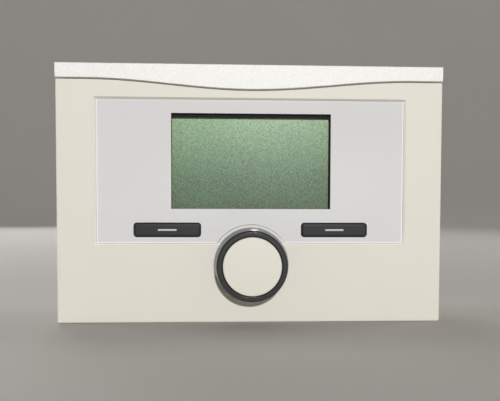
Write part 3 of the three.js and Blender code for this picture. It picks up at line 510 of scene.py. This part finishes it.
# ---- Knob ----------------------------------------------------------------------------------------
def knob_ring(material):
    """The dark grip: a tapered, polished side wall, a rounded lip, and a step down to the cap's seat."""
    taper, wall, lip_width, seat_depth = 1.2 * MM, 1.8 * MM, 1.9 * MM, 1.6 * MM
    hub_radius, hub_sink, web_depth = 4.6 * MM, 0.4 * MM, 5.4 * MM
    base = (ring_high.x - ring_low.x) / 2
    top = base - taper
    seat = top - lip_width
    front, back = ring_low.y, ring_high.y
    profile = filleted([
        (0, back - hub_sink, 0),
        (hub_radius, back - hub_sink, 0.2 * MM),
        (hub_radius, back - web_depth, 0.3 * MM),
        (top - wall, back - web_depth, 0.3 * MM),
        (base - wall, back, 0.15 * MM),
        (base, back, 0.25 * MM),
        (base - 0.15 * MM, back - 1.2 * MM, 0.4 * MM),
        (top + 0.25 * MM, front + 0.9 * MM, 0.35 * MM),
        (top, front + 0.3 * MM, 0.15 * MM),
        (top - 0.35 * MM, front, 0.2 * MM),
        (seat + 0.2 * MM, front, 0.18 * MM),
        (seat, front + 0.3 * MM, 0.1 * MM),
        (seat, front + seat_depth, 0),
        (0, front + seat_depth, 0),
    ], steps=4)
    verts, faces = lathe(profile, KNOB_X, KNOB_Z, KNOB_SIDES)
    finish_mesh("knob_grip", verts, faces, "knob", "dark_plastic", material, ["knob_ring"], KNOB_SHARP_ANGLE)


def knob_cap(material):
    """The pale cap: a rounded rim, and a face that bulges a little towards the middle."""
    rim, bulge, chamfer = 0.45 * MM, 0.35 * MM, 0.2 * MM
    rim_steps, bulge_steps = 6, 12
    radius = (cap_high.x - cap_low.x) / 2
    flat = radius - rim
    front, back = cap_low.y, cap_high.y
    shoulder = front + bulge + rim
    profile = [(0, back), (radius - chamfer, back), (radius, back - chamfer), (radius, shoulder)]
    for step in range(1, rim_steps + 1):
        turn = math.pi / 2 * step / rim_steps
        profile.append((radius - rim * (1 - math.cos(turn)), shoulder - rim * math.sin(turn)))
    for step in range(1, bulge_steps):
        outward = 1 - step / bulge_steps
        profile.append((flat * outward, front + bulge * outward ** 2))
    profile.append((0, front))
    verts, faces = lathe(profile, KNOB_X, KNOB_Z, KNOB_SIDES)
    finish_mesh("knob_face", verts, faces, "knob", "cover", material, ["knob_cap"], KNOB_SHARP_ANGLE)


# ---- Keys ----------------------------------------------------------------------------------------
def key_cap(label, body_material, mark_material):
    """A cap with a rounded edge, the flange that retains it, its stem, and the bar printed on it."""
    cap_width, cap_corner = 25 * MM, 1.0 * MM
    cap_edge, face_edge = 0.35 * MM, 0.12 * MM
    flange_sink, flange_corner, flange_reach = 0.3 * MM, 0.4 * MM, 3.9 * MM
    stem_width, stem_height = 6 * MM, 3 * MM
    mark_width, mark_height, mark_corner = 7.1 * MM, 0.70 * MM, 0.12 * MM
    mark_proud, mark_edge, mark_root = 0.03 * MM, 0.05 * MM, 0.3 * MM

    node = f"key_{label}"
    body = f"{label}_key"
    low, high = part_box(node)
    x, z = centre_of(node).x, centre_of(node).z
    height = high.z - low.z
    front = low.y
    flange_front = fascia_high.y + flange_sink
    flange_back = front + flange_reach

    cap_levels = [(0, flange_front), *rounded_edge(flange_front, front + face_edge, cap_edge)]
    cap_levels += [(0.62 * MM, front + 0.02 * MM), (0.75 * MM, front)]
    flange_levels = [(0, flange_back), (0, flange_front + SLIVER)]
    stem_levels = [(0, high.y), (0, flange_back + SLIVER)]
    mark_front = front - mark_proud
    mark_levels = [(0, front + mark_root), (0, mark_front + mark_edge), (mark_edge, mark_front)]

    cap = lofted_plate(cap_width, height, cap_corner, x, z, cap_levels)
    flange = lofted_plate(high.x - low.x, height, flange_corner, x, z, flange_levels)
    stem = lofted_plate(stem_width, stem_height, flange_corner, x, z, stem_levels)
    mark = lofted_plate(mark_width, mark_height, mark_corner, x, z, mark_levels)
    finish_mesh(f"key_cap_{label}", *cap, body, "dark_plastic", body_material, [node])
    finish_mesh(f"key_flange_{label}", *flange, body, "dark_plastic", body_material)
    finish_mesh(f"key_stem_{label}", *stem, body, "dark_plastic", body_material)
    finish_mesh(f"key_mark_{label}", *mark, body, "cover", mark_material)


# ---- Display -------------------------------------------------------------------------------------
def polariser(material):
    """The film bonded to the glass, which is what shows through the window."""
    margin, thickness, corner, edge = 0.8 * MM, 0.22 * MM, 0.6 * MM, 0.08 * MM
    middle = centre_of("display_glass")
    width = glass_high.x - glass_low.x - 2 * margin
    height = glass_high.z - glass_low.z - 2 * margin
    back, front = glass_low.y - SLIVER, glass_low.y - thickness
    levels = [(0, back), *rounded_edge(back, front, edge, steps=2)]
    verts, faces = lofted_plate(width, height, corner, middle.x, middle.z, levels)
    finish_mesh("display_polariser", verts, faces, "unit", "display", material, sharp_angle=FILM_SHARP_ANGLE)


# ---- Stage, light and camera ------------------------------------------------------------------------
def sweep(material):
    """A pale floor that curves up into a backdrop all the way round."""
    flat_radius, bend, top = 1.3, 1.1, 2.6
    sides, arc_steps = 96, 20
    profile = [(flat_radius / 3, 0), (flat_radius, 0)]
    for step in range(1, arc_steps + 1):
        turn = math.pi / 2 * step / arc_steps
        profile.append((flat_radius + bend * math.sin(turn), bend * (1 - math.cos(turn))))
    profile.append((flat_radius + bend, top))
    verts = [(0, 0, FLOOR_Z)]
    faces = []
    for ring, (radius, height) in enumerate(profile):
        for step in range(sides):
            turn = 2 * math.pi * step / sides
            verts.append((radius * math.cos(turn), radius * math.sin(turn), FLOOR_Z + height))
            here, following = 1 + ring * sides + step, 1 + ring * sides + (step + 1) % sides
            if ring == 0:
                faces.append((0, here, following))
            else:
                faces.append((here - sides, here, following, following - sides))
    mesh = bpy.data.meshes.new("sweep")
    mesh.from_pydata(verts, [], faces)
    mesh.polygons.foreach_set("use_smooth", [True] * len(faces))
    mesh.materials.append(material)
    floor = bpy.data.objects.new("sweep", mesh)
    bpy.context.scene.collection.objects.link(floor)


def direction(azimuth, elevation):
    """The unit vector from the object towards a place at that azimuth and elevation, in degrees."""
    turn, lift = math.radians(azimuth), math.radians(elevation)
    return Vector((math.sin(turn) * math.cos(lift), -math.cos(turn) * math.cos(lift), math.sin(lift)))


def area_light(name, place, towards, size, power, color):
    light = bpy.data.lights.new(name, "AREA")
    light.shape = "RECTANGLE"
    light.size, light.size_y = size
    light.energy = power
    light.color = color
    lamp = bpy.data.objects.new(name, light)
    lamp.location = place
    lamp.rotation_mode = "QUATERNION"
    lamp.rotation_quaternion = towards.to_track_quat("-Z", "Y")
    bpy.context.scene.collection.objects.link(lamp)


def softbox(name, azimuth, elevation, distance, size, power, color=(1, 1, 1)):
    """A light aimed at the middle of the object."""
    back = direction(azimuth, elevation)
    area_light(name, back * distance, -back, size, power, color)


def lights():
    """A small key above the face, soft light on the top, the sides and the back, and a lit surround."""
    world = bpy.data.worlds.new("studio")
    world.use_nodes = True
    background = world.node_tree.nodes["Background"]
    background.inputs["Color"].default_value = (0.98, 0.99, 1.0, 1)
    background.inputs["Strength"].default_value = 0.05
    bpy.context.scene.world = world
    warm, plain = (1.0, 0.99, 0.97), (1.0, 1.0, 1.0)
    softbox("key", azimuth=5, elevation=18, distance=2.0, size=(0.09, 0.07), power=28.0, color=warm)
    softbox("overhead", azimuth=178, elevation=70, distance=1.2, size=(0.7, 0.30), power=2.0)
    for side in (-1, 1):
        softbox("side", azimuth=side * 105, elevation=24, distance=1.0, size=(0.4, 0.4), power=3.0)
    softbox("rear_fill", azimuth=200, elevation=24, distance=1.2, size=(0.8, 0.6), power=4.6)

    wash_elevation, wash_distance, wash_dip = 70, 1.5, -15
    for azimuth in range(0, 360, 60):
        place = direction(azimuth, wash_elevation) * wash_distance
        towards = direction(azimuth, wash_dip)
        power = 8.0 if 90 < azimuth < 270 else 1.5
        area_light("wash", place, towards, size=(1.2, 0.6), power=power, color=plain)


def camera():
    """Almost straight on, a little from the left and from above, framed as a picture cropped off centre."""
    azimuth, elevation, roll = -2.897, 2.445, 0.141
    distance, aim_x, aim_z = 248 * MM, -0.49 * MM, -15.6 * MM
    aim = Vector((aim_x, FACE_Y, aim_z))
    back = direction(azimuth, elevation)
    data = bpy.data.cameras.new("camera")
    data.lens = 46.8
    data.sensor_width = 36
    data.shift_y = 0.07
    data.clip_start = 0.01
    data.clip_end = 20
    eye = bpy.data.objects.new("camera", data)
    eye.rotation_mode = "QUATERNION"
    level = back.to_track_quat("Z", "Y")
    eye.rotation_quaternion = level @ Matrix.Rotation(math.radians(roll), 4, "Z").to_quaternion()
    eye.location = aim + back * distance
    bpy.context.scene.collection.objects.link(eye)
    bpy.context.scene.camera = eye


# ---- Assembly ----------------------------------------------------------------------------------------
bpy.context.scene.view_settings.view_transform = "Standard"
camera()
lights()
sweep(floor_paint())

cover_material = cover_plastic("cover plastic", with_painted_highlights=True)
cap_material = cover_plastic("cap plastic", with_painted_highlights=False)
grip_material = dark_plastic("grip plastic", 0.22, 0.4)
key_material = dark_plastic("key plastic", 0.38, 0.2)
inner_white = plastic("inner white plastic", (0.70, 0.69, 0.63), 0.55, tint=0.03)
base_white = plastic("base plastic", (0.72, 0.71, 0.66), 0.5, grain=0.3 * MM, grain_depth=0.006 * MM)
black = plastic("black moulding", (0.012, 0.012, 0.013), 0.45, tint=0.15)
grey = plastic("grey moulding", (0.26, 0.27, 0.29), 0.45, tint=0.05)
steel = metal("zinc plate", (0.55, 0.56, 0.58), 0.30)
brass = metal("bright brass", (0.72, 0.54, 0.24), 0.28)
can = metal("aluminium can", (0.70, 0.71, 0.73), 0.25, brushed=(1, 6, 1))
rubber = plastic("contact rubber", (0.45, 0.43, 0.38), 0.8, grain=0.4 * MM, grain_depth=0.02 * MM)
diffuser = plastic("milky diffuser", (0.84, 0.86, 0.82), 0.35, tint=0.02, Subsurface_Weight=0.2)
glass = plastic("display glass", (0.20, 0.28, 0.20), 0.12, grain_depth=0.0005 * MM, tint=0.05,
                Coat_Weight=0.4)

looks = {
    "wall_base": base_white,
    "terminal_block": grey,
    "contact_socket": black,
    "rear_housing": inner_white,
    "front_cover": cover_material,
    "top_trim": trim_pearl(),
    "display_fascia": fascia_gloss(),
    "display_gasket": foam(),
    "display_glass": glass,
    "light_guide": diffuser,
    "display_frame": inner_white,
    "contact_strip_top": rubber,
    "contact_strip_bottom": rubber,
    "main_board": board_mask(),
    "microcontroller": black,
    "crystal": can,
    "electrolytic_capacitor": can,
    "backup_capacitor": black,
    "bus_rectifier": black,
    "room_sensor": black,
    "pin_header": black,
    "encoder_body": steel,
    "encoder_bush": brass,
    "encoder_shaft": grey,
    "switch_body_left": black,
    "switch_body_right": black,
    "switch_plunger_left": grey,
    "switch_plunger_right": grey,
    "terminal_screw_left": steel,
    "terminal_screw_right": steel,
    "contact_spring_left": brass,
    "contact_spring_right": brass,
    "bus_pin_left": brass,
    "bus_pin_right": brass,
    "housing_screw_top_left": steel,
    "housing_screw_top_right": steel,
    "housing_screw_bottom_left": steel,
    "housing_screw_bottom_right": steel,
}
for node, look in looks.items():
    wear(node, look)

knob_ring(grip_material)
knob_cap(cap_material)
mark_material = plastic("key mark", (0.56, 0.56, 0.56), 0.5, tint=0.02)
for label in ("left", "right"):
    key_cap(label, key_material, mark_material)
polariser(display_film())
